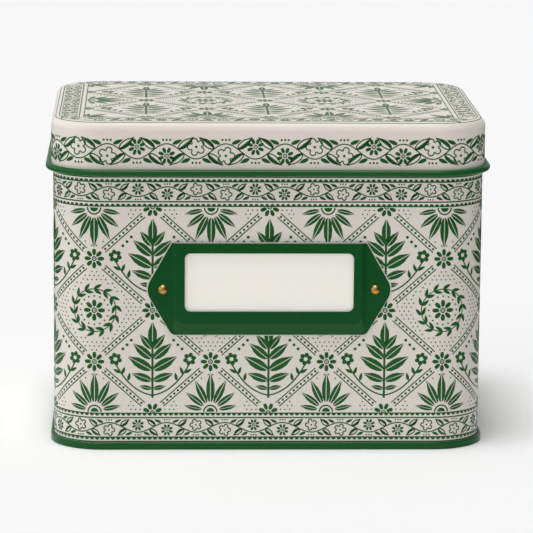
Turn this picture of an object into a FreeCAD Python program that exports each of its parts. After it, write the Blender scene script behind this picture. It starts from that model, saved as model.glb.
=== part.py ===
"""Recipe tin: a rounded tinplate box with a slip lid and a riveted label holder.

Millimetres, +Z up. The tin stands on its bottom seam at Z 0, the label holder faces -Y, and the
origin is under the middle of the tin.
"""
import FreeCAD, Part
import math
import os

import Sketcher

doc = FreeCAD.newDocument("recipe_tin")

# The driving dimensions, in millimetres, degrees for the two curls.
DIMENSIONS = [
    # Lid: the outside of its skirt in plan, and its rolled edge.
    ("lid_width", 166.5),
    ("lid_depth", 119.0),
    ("lid_corner", 19.5),
    ("lid_top", 127.0),
    ("lid_round", 3.5),
    ("lid_land", 2.0),
    ("bead_radius", 1.25),
    ("bead_height", 107.7),
    ("bead_turn", 305.0),
    # All three tinplate pieces, and the room between lid and wall.
    ("tin_sheet", 0.3),
    ("lid_clearance", 0.4),
    # Wall: its curled rim and its side seam at the back.
    ("rim_height", 124.5),
    ("hem_radius", 0.9),
    ("hem_turn", 290.0),
    ("side_seam_width", 4.6),
    ("side_seam_layers", 0.6),
    ("side_seam_foot", 4.5),
    ("side_groove_width", 0.5),
    ("side_groove_cut", 0.12),
    # Bottom: the double seam and the recessed panel with its raised middle.
    ("seam_gap", 0.15),
    ("seam_top", 2.8),
    ("wall_hook_tip", 2.2),
    ("cover_hook_tip", 1.05),
    ("panel_height", 2.0),
    ("panel_land", 2.0),
    ("raised_inset", 8.0),
    ("raised_step", 0.7),
    ("raised_round", 0.25),
    # Label holder: a plate with pointed ends and a raised pocket.
    ("holder_sheet", 0.5),
    ("holder_foot", 45.0),
    ("holder_head", 80.6),
    ("holder_shoulder", 37.1),
    ("holder_tip", 47.3),
    ("holder_tip_round", 6.7),
    ("holder_foot_round", 2.5),
    ("holder_head_round", 0.8),
    ("pocket_half_width", 36.9),
    ("pocket_rise", 1.1),
    ("pocket_side_slope", 1.5),
    ("pocket_foot_slope", 4.4),
    ("pocket_corner", 3.0),
    ("pocket_round", 1.0),
    ("window_width", 64.4),
    ("window_foot", 54.2),
    ("window_head", 76.8),
    ("window_corner", 2.2),
    # Rivets, one at each pointed end.
    ("rivet_reach", 40.5),
    ("rivet_height", 62.5),
    ("rivet_head_radius", 1.75),
    ("rivet_head_rise", 0.95),
    ("rivet_shank_radius", 1.1),
    ("rivet_tail_radius", 1.65),
    ("rivet_tail_length", 0.6),
    ("rivet_clearance", 0.04),
    # Card behind the window.
    ("card_width", 69.8),
    ("card_foot", 49.0),
    ("card_head", 79.8),
    ("card_thickness", 0.4),
    ("card_corner", 1.5),
    ("card_off_wall", 0.3),
]

sheet = doc.addObject("Spreadsheet::Sheet", "size")
reader = doc.addObject("App::FeaturePython", "reader")
for row, (alias, value) in enumerate(DIMENSIONS, start=1):
    sheet.set(f"A{row}", alias.replace("_", " "))
    sheet.set(f"B{row}", str(value))
    sheet.setAlias(f"B{row}", alias)
doc.recompute()

# Sizes that follow from the sheet, written as expressions.
BODY_WIDTH = "(size.lid_width - 2 * size.tin_sheet - 2 * size.lid_clearance)"
BODY_DEPTH = "(size.lid_depth - 2 * size.tin_sheet - 2 * size.lid_clearance)"
BODY_CORNER = "(size.lid_corner - size.tin_sheet - size.lid_clearance)"
WALL_FRONT = f"({BODY_DEPTH} / 2)"
HOLDER_FRONT = f"({WALL_FRONT} + size.holder_sheet)"
HOLDER_MIDDLE = "size.rivet_height"

# Every bend of the double seam turns round the same inner radius.
SEAM_INNER = "(size.seam_gap + size.tin_sheet / 2)"
SEAM_OUTER = f"({SEAM_INNER} + size.tin_sheet)"


def number(expression):
    """The value of an expression of the sheet."""
    return float(reader.evalExpression(expression))


def new_body(name):
    body = doc.addObject("PartDesign::Body", name)
    body.Label = name
    return body


def new_sketch(body, name, plane, offset="0"):
    """A sketch on one of the body's origin planes, moved along that plane's normal."""
    sketch = body.newObject("Sketcher::SketchObject", name)
    support = next(item for item in body.Origin.OriginFeatures if item.Role == plane)
    sketch.AttachmentSupport = [(support, "")]
    sketch.MapMode = "FlatFace"
    sketch.setExpression("AttachmentOffset.Base.z", offset)
    return sketch


def measure(sketch, name, kind, where, expression):
    """Add a dimension to a sketch and tie it to the sheet."""
    value = number(expression)
    if kind == "Angle":
        value = math.radians(value)
        expression = f"({expression}) * 1 deg"
    index = sketch.addConstraint(Sketcher.Constraint(kind, *where, value))
    sketch.renameConstraint(index, name)
    sketch.setExpression(f".Constraints.{name}", expression)


def tie(sketch, kind, *where):
    sketch.addConstraint(Sketcher.Constraint(kind, *where))


def point(x, y):
    return FreeCAD.Vector(x, y, 0)


def arc(x, y, radius, start, end):
    circle = Part.Circle(point(x, y), FreeCAD.Vector(0, 0, 1), radius)
    return Part.ArcOfCircle(circle, start, end)


def rounded_rectangle(sketch, name, width, depth, corner, height="0"):
    """Four arcs and four lines round the sketch's vertical axis, centred at a height on it."""
    half_width = number(width) / 2
    half_depth = number(depth) / 2
    radius = number(corner)
    middle = number(height)
    inner_x = half_width - radius
    inner_y = half_depth - radius
    quarter = math.pi / 2
    first = sketch.addGeometry([
        arc(inner_x, middle + inner_y, radius, 0, quarter),
        Part.LineSegment(point(inner_x, middle + half_depth), point(-inner_x, middle + half_depth)),
        arc(-inner_x, middle + inner_y, radius, quarter, 2 * quarter),
        Part.LineSegment(point(-half_width, middle + inner_y), point(-half_width, middle - inner_y)),
        arc(-inner_x, middle - inner_y, radius, 2 * quarter, 3 * quarter),
        Part.LineSegment(point(-inner_x, middle - half_depth), point(inner_x, middle - half_depth)),
        arc(inner_x, middle - inner_y, radius, 3 * quarter, 4 * quarter),
        Part.LineSegment(point(half_width, middle - inner_y), point(half_width, middle + inner_y)),
    ], False)[0]
    for step in range(8):
        tie(sketch, "Tangent", first + step, 2, first + (step + 1) % 8, 1)
    for corner_arc in (2, 4, 6):
        tie(sketch, "Equal", first, first + corner_arc)
    top, left, bottom, right = first + 1, first + 3, first + 5, first + 7
    tie(sketch, "Horizontal", top)
    tie(sketch, "Vertical", left)
    tie(sketch, "Vertical", right)
    tie(sketch, "Symmetric", bottom, 1, bottom, 2, -2)
    measure(sketch, f"{name}_corner", "Radius", (first,), corner)
    measure(sketch, f"{name}_width", "DistanceX", (left, 1, right, 1), width)
    measure(sketch, f"{name}_depth", "DistanceY", (right, 1, top, 1), f"({depth}) - ({corner})")
    measure(sketch, f"{name}_foot", "DistanceY", (-1, 1, bottom, 1), f"({height}) - ({depth}) / 2")


def plan(body, name, width, depth, corner, height="0"):
    """A rounded rectangle in plan, at a height."""
    sketch = new_sketch(body, name, "XY_Plane", height)
    rounded_rectangle(sketch, "plan", width, depth, corner)
    return sketch


def folded_section(body, name, offset, start, heading, stretches):
    """The section of a folded sheet, drawn on a plane that faces -Y.

    One face of the sheet is followed from start, with the sheet on the left of it. A straight has a
    length. A bend has the radius of the face that is followed, and the degrees that it turns left.
    """
    sketch = new_sketch(body, name, "XZ_Plane", offset)
    thick = number("size.tin_sheet")
    x, z = number(start[0]), number(start[1])
    angle = math.radians(heading)
    previous = None
    for count, (shape, size, *turn) in enumerate(stretches):
        aside = point(-math.sin(angle) * thick, math.cos(angle) * thick)
        here = point(x, z)
        if shape == "straight":
            length = number(size)
            there = here + point(math.cos(angle) * length, math.sin(angle) * length)
            followed = sketch.addGeometry(Part.LineSegment(here, there), False)
            other = sketch.addGeometry(Part.LineSegment(here + aside, there + aside), False)
            enter, leave = 1, 2
            upright = abs(math.sin(angle)) > 0.5
            tie(sketch, "Vertical" if upright else "Horizontal", followed)
            tie(sketch, "Vertical" if upright else "Horizontal", other)
            measure(sketch, f"straight_{count}", "Distance", (followed,), size)
        else:
            radius = number(size)
            degrees = number(turn[0])
            side = 1 if degrees > 0 else -1
            centre = here + point(-math.sin(angle), math.cos(angle)) * radius * side
            first = angle - side * math.pi / 2
            last = first + math.radians(degrees)
            low, high = min(first, last), max(first, last)
            followed = sketch.addGeometry(arc(centre.x, centre.y, radius, low, high), False)
            other_radius = radius - side * thick
            other = sketch.addGeometry(arc(centre.x, centre.y, other_radius, low, high), False)
            enter, leave = (1, 2) if side > 0 else (2, 1)
            tie(sketch, "Coincident", followed, 3, other, 3)
            measure(sketch, f"bend_{count}", "Radius", (followed,), size)
            there = centre + point(math.cos(last), math.sin(last)) * radius
            angle += math.radians(degrees)
        if previous is None:
            opening = sketch.addGeometry(Part.LineSegment(here, here + aside), False)
            tie(sketch, "Coincident", opening, 1, followed, enter)
            tie(sketch, "Coincident", opening, 2, other, enter)
            tie(sketch, "Horizontal" if upright else "Vertical", opening)
            measure(sketch, "thickness", "Distance", (opening,), "size.tin_sheet")
            measure(sketch, "start_x", "DistanceX", (-1, 1, opening, 1), start[0])
            measure(sketch, "start_z", "DistanceY", (-1, 1, opening, 1), start[1])
        else:
            tie(sketch, "Tangent", previous[0], previous[2], followed, enter)
            tie(sketch, "Tangent", previous[1], previous[2], other, enter)
        previous = (followed, other, leave)
        x, z = there.x, there.y
    aside = point(-math.sin(angle) * thick, math.cos(angle) * thick)
    closing = sketch.addGeometry(Part.LineSegment(there, there + aside), False)
    tie(sketch, "Coincident", closing, 1, previous[0], previous[2])
    tie(sketch, "Coincident", closing, 2, previous[1], previous[2])
    if shape == "straight":
        tie(sketch, "Horizontal" if upright else "Vertical", closing)
    else:
        tie(sketch, "PointOnObject", previous[0], 3, closing)
        measure(sketch, "last_turn", "Angle", (previous[0],), turn[0])
    return sketch


def pinned_outline(sketch, name, corners):
    """A closed outline of straight lines whose corners are each pinned to the sheet."""
    places = [point(number(x), number(y)) for x, y in corners]
    count = len(places)
    lines = [Part.LineSegment(places[n], places[(n + 1) % count]) for n in range(count)]
    first = sketch.addGeometry(lines, False)[0]
    for n, (x, y) in enumerate(corners):
        tie(sketch, "Coincident", first + (n - 1) % count, 2, first + n, 1)
        measure(sketch, f"{name}_{n}_x", "DistanceX", (-1, 1, first + n, 1), x)
        measure(sketch, f"{name}_{n}_y", "DistanceY", (-1, 1, first + n, 1), y)


def pinned_circle(sketch, name, x, y, radius):
    circle = Part.Circle(point(number(x), number(y)), FreeCAD.Vector(0, 0, 1), number(radius))
    index = sketch.addGeometry(circle, False)
    measure(sketch, f"{name}_x", "DistanceX", (-1, 1, index, 3), x)
    measure(sketch, f"{name}_y", "DistanceY", (-1, 1, index, 3), y)
    measure(sketch, f"{name}_radius", "Radius", (index,), radius)


def feature(body, kind, name, profile, **settings):
    """Add a Part Design feature to the body; a text setting is an expression."""
    item = body.newObject(f"PartDesign::{kind}", name)
    item.Profile = profile
    for key, value in settings.items():
        if isinstance(value, str):
            item.setExpression(key, value)
        else:
            setattr(item, key, value)
    doc.recompute()
    return item


def pocket(body, name, profile, **settings):
    """A pocket that is certain to have cut something."""
    before = body.Shape.Volume
    item = feature(body, "Pocket", name, profile, **settings)
    if body.Shape.Volume >= before:
        raise RuntimeError(f"{body.Label}: {name} cuts nothing")
    return item


def near(value, target):
    return abs(value - target) < 0.01


def round_edges(body, name, radius, chosen):
    """Round the edges of the body's last feature whose middle passes the test."""
    base = body.Tip
    edges = []
    for index, edge in enumerate(base.Shape.Edges, start=1):
        middle = edge.valueAt((edge.FirstParameter + edge.LastParameter) / 2)
        if chosen(edge, middle):
            edges.append(f"Edge{index}")
    item = body.newObject("PartDesign::Fillet", name)
    item.Base = (base, edges)
    item.setExpression("Radius", radius)
    doc.recompute()
    return item


def wall_strip():
    """The wall: hooked at the foot, straight, and curled inwards at the rim."""
    body = new_body("body_wall")
    path = plan(body, "wall_plan", BODY_WIDTH, BODY_DEPTH, BODY_CORNER, "0")
    hook_middle = f"(size.tin_sheet + size.seam_gap + {SEAM_OUTER})"
    section = folded_section(
        body, "wall_section", f"-({BODY_DEPTH} / 2 - {BODY_CORNER})",
        (f"{BODY_WIDTH} / 2 + 2 * {SEAM_INNER}", "size.wall_hook_tip"), -90,
        [("straight", f"size.wall_hook_tip - {hook_middle}"),
         ("bend", SEAM_INNER, "-180"),
         ("straight", f"size.rim_height - size.hem_radius - {hook_middle}"),
         ("bend", "size.hem_radius", "size.hem_turn")])
    feature(body, "AdditivePipe", "wall_and_curls", section, Spine=(path, [""]))

    # The side seam: two more layers inside the back wall, and a fine groove outside along its fold.
    inside = f"({WALL_FRONT} - size.tin_sheet)"
    layers = new_sketch(body, "side_seam_plan", "XY_Plane", "size.side_seam_foot")
    half = "size.side_seam_width / 2"
    into_wall = f"{inside} + size.tin_sheet / 2"
    off_wall = f"{inside} - size.side_seam_layers"
    pinned_outline(layers, "seam", [(f"-{half}", into_wall), (f"-{half}", off_wall),
                                    (half, off_wall), (half, into_wall)])
    feature(body, "Pad", "side_seam_layers", layers,
            Length="size.rim_height - 2.5 * size.hem_radius - size.side_seam_foot")
    groove = new_sketch(body, "side_groove_plan", "XY_Plane", "size.rim_height - 2 * size.hem_radius")
    left, right = f"{half} - size.side_groove_width", half
    cut_foot = f"{WALL_FRONT} - size.side_groove_cut"
    cut_out = f"{WALL_FRONT} + size.side_groove_cut"
    pinned_outline(groove, "groove", [(left, cut_foot), (right, cut_foot),
                                      (right, cut_out), (left, cut_out)])
    pocket(body, "side_groove", groove,
           Length="size.rim_height - 2 * size.hem_radius - size.side_seam_foot")

    # One hole for each rivet through the front wall.
    holes = new_sketch(body, "rivet_holes", "XZ_Plane", f"{WALL_FRONT} - 2 * size.tin_sheet")
    radius = "size.rivet_shank_radius + size.rivet_clearance"
    pinned_circle(holes, "left", "-size.rivet_reach", "size.rivet_height", radius)
    pinned_circle(holes, "right", "size.rivet_reach", "size.rivet_height", radius)
    pocket(body, "rivet_hole_cut", holes, Length="4 * size.tin_sheet", Reversed=True)
    return body


def bottom_panel():
    """The bottom: a recessed panel, and an edge rolled round the wall's hook."""
    body = new_body("bottom_plate")
    path = plan(body, "wall_plan", BODY_WIDTH, BODY_DEPTH, BODY_CORNER, "0")
    chuck_face = "(2 * size.tin_sheet + size.seam_gap)"
    panel_inset = f"({chuck_face} + {SEAM_INNER} + size.panel_land)"
    section = folded_section(
        body, "seam_section", f"-({BODY_DEPTH} / 2 - {BODY_CORNER})",
        (f"{BODY_WIDTH} / 2 - {panel_inset}", "size.panel_height"), 0,
        [("straight", "size.panel_land"),
         ("bend", SEAM_INNER, "-90"),
         ("straight", f"size.panel_height - {SEAM_INNER} - {SEAM_OUTER}"),
         ("bend", SEAM_OUTER, "90"),
         ("straight", f"3 * size.tin_sheet + 4 * size.seam_gap - 2 * {SEAM_INNER}"),
         ("bend", SEAM_OUTER, "90"),
         ("straight", f"size.seam_top - 2 * {SEAM_OUTER}"),
         ("bend", SEAM_OUTER, "180"),
         ("straight", f"size.seam_top - {SEAM_OUTER} - size.cover_hook_tip")])
    feature(body, "AdditivePipe", "double_seam", section, Spine=(path, [""]))

    def smaller(inset):
        return (f"({BODY_WIDTH} - 2 * ({inset}))", f"({BODY_DEPTH} - 2 * ({inset}))",
                f"({BODY_CORNER} - ({inset}))")

    flat = plan(body, "panel_plan", *smaller(panel_inset), "size.panel_height")
    feature(body, "Pad", "panel", flat, Length="size.tin_sheet")
    raised = plan(body, "raised_plan", *smaller("size.raised_inset"), "size.panel_height")
    feature(body, "Pad", "raised_middle", raised, Length="size.raised_step + size.tin_sheet")
    hollow = plan(body, "hollow_plan", *smaller("size.raised_inset + size.tin_sheet"),
                  "size.panel_height")
    pocket(body, "raised_hollow", hollow, Length="size.raised_step", Reversed=True)
    crest = number("size.panel_height + size.raised_step + size.tin_sheet")
    underside = number("size.panel_height")
    panel_width, panel_depth, _ = smaller("size.raised_inset / 2")
    half_width = number(panel_width) / 2
    half_depth = number(panel_depth) / 2

    def raised_corner(edge, middle):
        level = near(middle.z, crest) or near(middle.z, underside)
        return level and abs(middle.x) < half_width and abs(middle.y) < half_depth

    round_edges(body, "raised_rounds", "size.raised_round", raised_corner)
    return body


def slip_lid():
    """The lid: one drawn shell with a round top edge and a bead rolled outwards at its mouth."""
    body = new_body("lid")
    path = plan(body, "skirt_plan", "size.lid_width", "size.lid_depth", "size.lid_corner", "0")
    land_inset = "(size.lid_round + size.lid_land)"
    section = folded_section(
        body, "lid_section", "-(size.lid_depth / 2 - size.lid_corner)",
        (f"size.lid_width / 2 - {land_inset}", "size.lid_top - size.tin_sheet"), 0,
        [("straight", "size.lid_land"),
         ("bend", "size.lid_round - size.tin_sheet", "-90"),
         ("straight", "size.lid_top - size.lid_round - size.bead_height"),
         ("bend", "size.bead_radius", "size.bead_turn")])
    feature(body, "AdditivePipe", "skirt_and_bead", section, Spine=(path, [""]))
    top = plan(body, "top_plan", f"size.lid_width - 2 * {land_inset}",
               f"size.lid_depth - 2 * {land_inset}", f"size.lid_corner - {land_inset}",
               "size.lid_top - size.tin_sheet")
    feature(body, "Pad", "top_panel", top, Length="size.tin_sheet")
    return body


def slope_shift(run):
    """How far the back of a pressed slope lies behind its front, measured level."""
    return f"(size.holder_sheet * sqrt({run} ^ 2 + size.pocket_rise ^ 2) / size.pocket_rise)"


def pocket_outline(body, name, depth, rise, side_shift="0", foot_shift="0", head="size.holder_head"):
    """The pocket's outline at a distance off the wall, round at its two lower corners.

    Rise is the outline's share of the slopes.
    """
    sketch = new_sketch(body, name, "XZ_Plane", depth)
    half = f"(size.pocket_half_width - size.pocket_side_slope * {rise} - {side_shift})"
    foot = f"(size.holder_foot + size.pocket_foot_slope * {rise} + {foot_shift})"
    reach, low, high = number(half), number(foot), number(head)
    radius = number("size.pocket_corner")
    quarter = math.pi / 2
    first = sketch.addGeometry([
        arc(reach - radius, low + radius, radius, -quarter, 0),
        Part.LineSegment(point(reach, low + radius), point(reach, high)),
        Part.LineSegment(point(reach, high), point(-reach, high)),
        Part.LineSegment(point(-reach, high), point(-reach, low + radius)),
        arc(radius - reach, low + radius, radius, 2 * quarter, 3 * quarter),
        Part.LineSegment(point(radius - reach, low), point(reach - radius, low)),
    ], False)[0]
    right_bend, right, top, left, left_bend, bottom = range(first, first + 6)
    tie(sketch, "Tangent", right_bend, 2, right, 1)
    tie(sketch, "Coincident", right, 2, top, 1)
    tie(sketch, "Coincident", top, 2, left, 1)
    tie(sketch, "Tangent", left, 2, left_bend, 1)
    tie(sketch, "Tangent", left_bend, 2, bottom, 1)
    tie(sketch, "Tangent", bottom, 2, right_bend, 1)
    tie(sketch, "Equal", right_bend, left_bend)
    for upright in (left, right):
        tie(sketch, "Vertical", upright)
    for level in (top, bottom):
        tie(sketch, "Horizontal", level)
    measure(sketch, "corner", "Radius", (right_bend,), "size.pocket_corner")
    measure(sketch, "right", "DistanceX", (-1, 1, top, 1), half)
    measure(sketch, "left", "DistanceX", (top, 2, -1, 1), half)
    measure(sketch, "head", "DistanceY", (-1, 1, top, 1), head)
    measure(sketch, "foot", "DistanceY", (-1, 1, bottom, 1), foot)
    return sketch


def holder_plate():
    """The label holder: flat pointed ends, a raised pocket open at the top, and a window."""
    body = new_body("label_holder")
    flat = new_sketch(body, "plate_outline", "XZ_Plane", WALL_FRONT)
    shoulder, tip = "size.holder_shoulder", "size.holder_tip"
    foot, head = "size.holder_foot", "size.holder_head"
    pinned_outline(flat, "plate", [(f"-{shoulder}", foot), (shoulder, foot), (tip, HOLDER_MIDDLE),
                                   (shoulder, head), (f"-{shoulder}", head), (f"-{tip}", HOLDER_MIDDLE)])
    hole = "size.rivet_shank_radius + size.rivet_clearance"
    pinned_circle(flat, "left", "-size.rivet_reach", "size.rivet_height", hole)
    pinned_circle(flat, "right", "size.rivet_reach", "size.rivet_height", hole)
    feature(body, "Pad", "plate", flat, Length="size.holder_sheet")

    # The plate's outline is rounded at its points and corners.
    tip_x = number(tip)
    shoulder_x = number(shoulder)
    foot_z, middle_z, head_z = number(foot), number(HOLDER_MIDDLE), number(head)

    def across(edge, middle, x, z):
        beside = near(abs(middle.x), x) and near(middle.z, z)
        return beside and near(edge.Length, number("size.holder_sheet"))

    round_edges(body, "tip_rounds", "size.holder_tip_round",
                lambda e, m: across(e, m, tip_x, middle_z))
    round_edges(body, "foot_rounds", "size.holder_foot_round",
                lambda e, m: across(e, m, shoulder_x, foot_z))
    round_edges(body, "head_rounds", "size.holder_head_round",
                lambda e, m: across(e, m, shoulder_x, head_z))

    # The pocket's front: a block with sloped sides and foot, then the same form one sheet smaller
    # taken out from behind, past the open top.
    base = pocket_outline(body, "pocket_base", HOLDER_FRONT, "0")
    crest = pocket_outline(body, "pocket_crest", f"{HOLDER_FRONT} + size.pocket_rise", "1")
    feature(body, "AdditiveLoft", "pocket_front", base, Sections=[crest], Ruled=True)
    side_shift = slope_shift("size.pocket_side_slope")
    foot_shift = slope_shift("size.pocket_foot_slope")
    past_top = "(size.holder_head + 2)"
    fall = "(-size.holder_sheet / size.pocket_rise)"
    back = pocket_outline(body, "hollow_back", WALL_FRONT, fall, side_shift, foot_shift, past_top)
    front = pocket_outline(body, "hollow_front", f"{WALL_FRONT} + size.pocket_rise",
                           f"(1 + {fall})", side_shift, foot_shift, past_top)
    feature(body, "SubtractiveLoft", "pocket_hollow", back, Sections=[front], Ruled=True)

    window = new_sketch(body, "window_outline", "XZ_Plane", HOLDER_FRONT)
    rounded_rectangle(window, "window", "size.window_width", "size.window_head - size.window_foot",
                      "size.window_corner", "(size.window_head + size.window_foot) / 2")
    pocket(body, "window", window, Length="2 * size.pocket_rise", Reversed=True)

    # The edge between the slopes and the crest is soft, as pressing leaves it.
    crest_y = -number(f"{HOLDER_FRONT} + size.pocket_rise")
    window_half = number("size.window_width / 2")
    window_foot = number("size.window_foot")

    def pressed(edge, middle):
        outside_window = abs(middle.x) > window_half + 0.5 or middle.z < window_foot - 0.5
        return near(middle.y, crest_y) and outside_window

    round_edges(body, "pressed_rounds", "size.pocket_round", pressed)
    return body


def rivet(name, side):
    """A domed rivet, its axis along Y: head in front of the plate, tail spread inside the wall."""
    body = new_body(name)
    sketch = new_sketch(body, "rivet_section", "XY_Plane", "size.rivet_height")
    sketch.setExpression("AttachmentOffset.Base.x", f"{side} * size.rivet_reach")
    front = -number(HOLDER_FRONT)
    crown = front - number("size.rivet_head_rise")
    inside = -number(f"{WALL_FRONT} - size.tin_sheet")
    end = inside + number("size.rivet_tail_length")
    head = number("size.rivet_head_radius")
    shank = number("size.rivet_shank_radius")
    tail = number("size.rivet_tail_radius")
    dome_radius = (head ** 2 + (front - crown) ** 2) / (2 * (front - crown))
    dome_angle = math.asin(head / dome_radius)
    dome = arc(0, crown + dome_radius, dome_radius, -math.pi / 2, dome_angle - math.pi / 2)
    corners = [(head, front), (shank, front), (shank, inside), (tail, inside),
               (tail, end), (0, end), (0, crown)]
    lines = [Part.LineSegment(point(*a), point(*b)) for a, b in zip(corners, corners[1:])]
    sketch.addGeometry([dome] + lines, False)
    for n in range(7):
        tie(sketch, "Coincident", n, 2, (n + 1) % 7, 1)
    for level in (1, 3, 5):
        tie(sketch, "Horizontal", level)
    for upright in (2, 4, 6):
        tie(sketch, "Vertical", upright)
    tie(sketch, "PointOnObject", 0, 3, -2)
    tie(sketch, "PointOnObject", 6, 1, -2)
    measure(sketch, "crown", "DistanceY", (-1, 1, 0, 1), f"-({HOLDER_FRONT} + size.rivet_head_rise)")
    measure(sketch, "seat", "DistanceY", (-1, 1, 1, 1), f"-{HOLDER_FRONT}")
    measure(sketch, "inside", "DistanceY", (-1, 1, 3, 1), f"-({WALL_FRONT} - size.tin_sheet)")
    measure(sketch, "tail_length", "DistanceY", (4, 1, 4, 2), "size.rivet_tail_length")
    measure(sketch, "head_radius", "DistanceX", (-1, 1, 0, 2), "size.rivet_head_radius")
    measure(sketch, "shank_radius", "DistanceX", (-1, 1, 2, 1), "size.rivet_shank_radius")
    measure(sketch, "tail_radius", "DistanceX", (-1, 1, 4, 1), "size.rivet_tail_radius")
    feature(body, "Revolution", "turned", sketch, ReferenceAxis=(sketch, ["V_Axis"]))
    return body


def label_slip():
    """The card behind the window, free to slide up out of the pocket."""
    body = new_body("label_card")
    outline = new_sketch(body, "card_outline", "XZ_Plane", f"{WALL_FRONT} + size.card_off_wall")
    rounded_rectangle(outline, "card", "size.card_width", "size.card_head - size.card_foot",
                      "size.card_corner", "(size.card_head + size.card_foot) / 2")
    feature(body, "Pad", "card", outline, Length="size.card_thickness")
    return body


pieces = [
    wall_strip(),
    bottom_panel(),
    slip_lid(),
    holder_plate(),
    rivet("rivet_left", -1),
    rivet("rivet_right", 1),
    label_slip(),
]

doc.recompute()
for item in doc.Objects:
    if "Invalid" in item.State or "Error" in item.State:
        raise RuntimeError(f"{item.Label} did not compute: {item.State}")
    if item.TypeId == "Sketcher::SketchObject" and not item.FullyConstrained:
        raise RuntimeError(f"{item.Label} in {item.getParentGeoFeatureGroup().Label} is loose")

os.makedirs("parts", exist_ok=True)
for body in pieces:
    shape = body.Shape
    if shape.isNull() or not shape.isValid() or len(shape.Solids) != 1:
        raise RuntimeError(f"{body.Label} is not one sound solid")
    shape.exportStep(f"parts/{body.Label}.step")
    box = shape.BoundBox
    print(f"{body.Label}: {shape.Volume:.0f} cubic mm, "
          f"{box.XLength:.1f} x {box.YLength:.1f} x {box.ZLength:.1f} mm")
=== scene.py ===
# %% [markdown]
# # A recipe tin in printed tinplate
# The real thing is a slip-lid box: a wrapped wall, a rolled-on bottom, a drawn lid and a riveted
# label holder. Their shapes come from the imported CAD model, which is loaded first and never moved.
# This lesson gives them their finishes and adds what the CAD leaves out, the printed decoration.

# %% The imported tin
import itertools
import math
import bpy
import bmesh
import numpy as np
from mathutils import Matrix, Vector


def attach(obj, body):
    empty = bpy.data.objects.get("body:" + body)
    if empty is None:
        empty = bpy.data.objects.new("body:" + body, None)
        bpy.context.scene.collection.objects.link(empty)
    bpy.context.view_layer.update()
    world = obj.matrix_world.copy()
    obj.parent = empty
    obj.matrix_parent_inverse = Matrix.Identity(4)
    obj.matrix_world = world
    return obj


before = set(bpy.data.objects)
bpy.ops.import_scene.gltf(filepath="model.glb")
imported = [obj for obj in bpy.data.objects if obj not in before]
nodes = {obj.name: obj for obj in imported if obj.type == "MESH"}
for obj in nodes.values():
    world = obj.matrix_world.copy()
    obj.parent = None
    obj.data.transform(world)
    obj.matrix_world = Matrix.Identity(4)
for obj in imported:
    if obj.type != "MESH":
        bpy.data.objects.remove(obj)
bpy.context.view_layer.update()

MM = 0.001
ORIGIN = (0.0, 0.0, 0.0)
scene = bpy.context.scene
print("pieces:", sorted(nodes))

# %% [markdown]
# ## The camera
# The tin was photographed from a little above, almost square on, with a long lens: its left and
# right walls hardly converge. Lens, tilt and distance were found by fitting the tin's known corners.

# %% Camera
SENSOR_WIDTH = 36.0
PICTURE_WIDTH = 533
FOCAL_PIXELS = 3193.5
TILT_DOWN, TURN_RIGHT, ROLL = math.radians(10.91), math.radians(2.13), math.radians(0.46)
LOOKED_AT = Vector((1.11, 0.0, 60.16)) * MM
CAMERA_DISTANCE = 1276.0 * MM
FARTHEST_SEEN = 50.0

camera_data = bpy.data.cameras.new("photo_camera")
camera_data.sensor_width = SENSOR_WIDTH
camera_data.lens = SENSOR_WIDTH * FOCAL_PIXELS / PICTURE_WIDTH
camera_data.clip_end = FARTHEST_SEEN
camera = bpy.data.objects.new("photo_camera", camera_data)
scene.collection.objects.link(camera)
forward = Vector((math.sin(TURN_RIGHT) * math.cos(TILT_DOWN),
                  math.cos(TURN_RIGHT) * math.cos(TILT_DOWN), -math.sin(TILT_DOWN)))
level = Vector((math.cos(TURN_RIGHT), -math.sin(TURN_RIGHT), 0.0))
upward = level.cross(forward)
side = level * math.cos(ROLL) + upward * math.sin(ROLL)
top = upward * math.cos(ROLL) - level * math.sin(ROLL)
camera.matrix_world = Matrix((side, top, -forward)).transposed().to_4x4()
camera.location = LOOKED_AT - forward * CAMERA_DISTANCE
scene.camera = camera
print("lens, mm:", round(camera_data.lens, 1))

# %% [markdown]
# ## Floor and light
# A white studio sweep: the floor runs far behind the tin, so the camera sees nothing else. The main
# light hangs almost overhead, a little to the left and front, and leaves a soft shadow on the right.
# The studio's left wall glows, and so do the backdrop and the room in front on the left. The right side
# is dark, and a broad sky fills from above. Their strengths were fitted to the photo's whites, which
# the Standard view keeps.
#
# The real sheet of paper ends not far from the tin, with the dark room beyond it. Only what mirrors the
# room shows that, so the floor turns dark with distance for mirrored rays alone.


# %% Colours and nodes
def linear(hex_colour):
    """The linear RGBA of an sRGB hex colour."""
    parts = [int(hex_colour[i:i + 2], 16) / 255.0 for i in (1, 3, 5)]
    return tuple(c / 12.92 if c <= 0.04045 else ((c + 0.055) / 1.055) ** 2.4 for c in parts) + (1.0,)


def add_node(tree, kind, inputs=(), output=0, **settings):
    """Add a ShaderNode of this kind and return an output; inputs are (socket, value or output)."""
    node = tree.nodes.new("ShaderNode" + kind)
    for name, value in settings.items():
        setattr(node, name, value)
    for socket, value in inputs:
        if isinstance(value, bpy.types.NodeSocket):
            tree.links.new(value, node.inputs[socket])
        else:
            node.inputs[socket].default_value = value
    return node.outputs[output]


def new_finish(name, **values):
    """A material, its node tree and its shader; values go straight on the shader's sockets."""
    material = bpy.data.materials.new(name)
    material.use_nodes = True
    shader = material.node_tree.nodes["Principled BSDF"]
    for socket, value in values.items():
        shader.inputs[socket.replace("_", " ")].default_value = value
    return material, material.node_tree, shader


# The dark colour is a painted reflection: the dark room, seen only in mirrored rays.
PAPER_WHITE, MIRRORED_ROOM_DARK = linear("#F7F7F7"), linear("#383838")
print("white paper, linear:", [round(c, 3) for c in PAPER_WHITE])

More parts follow.
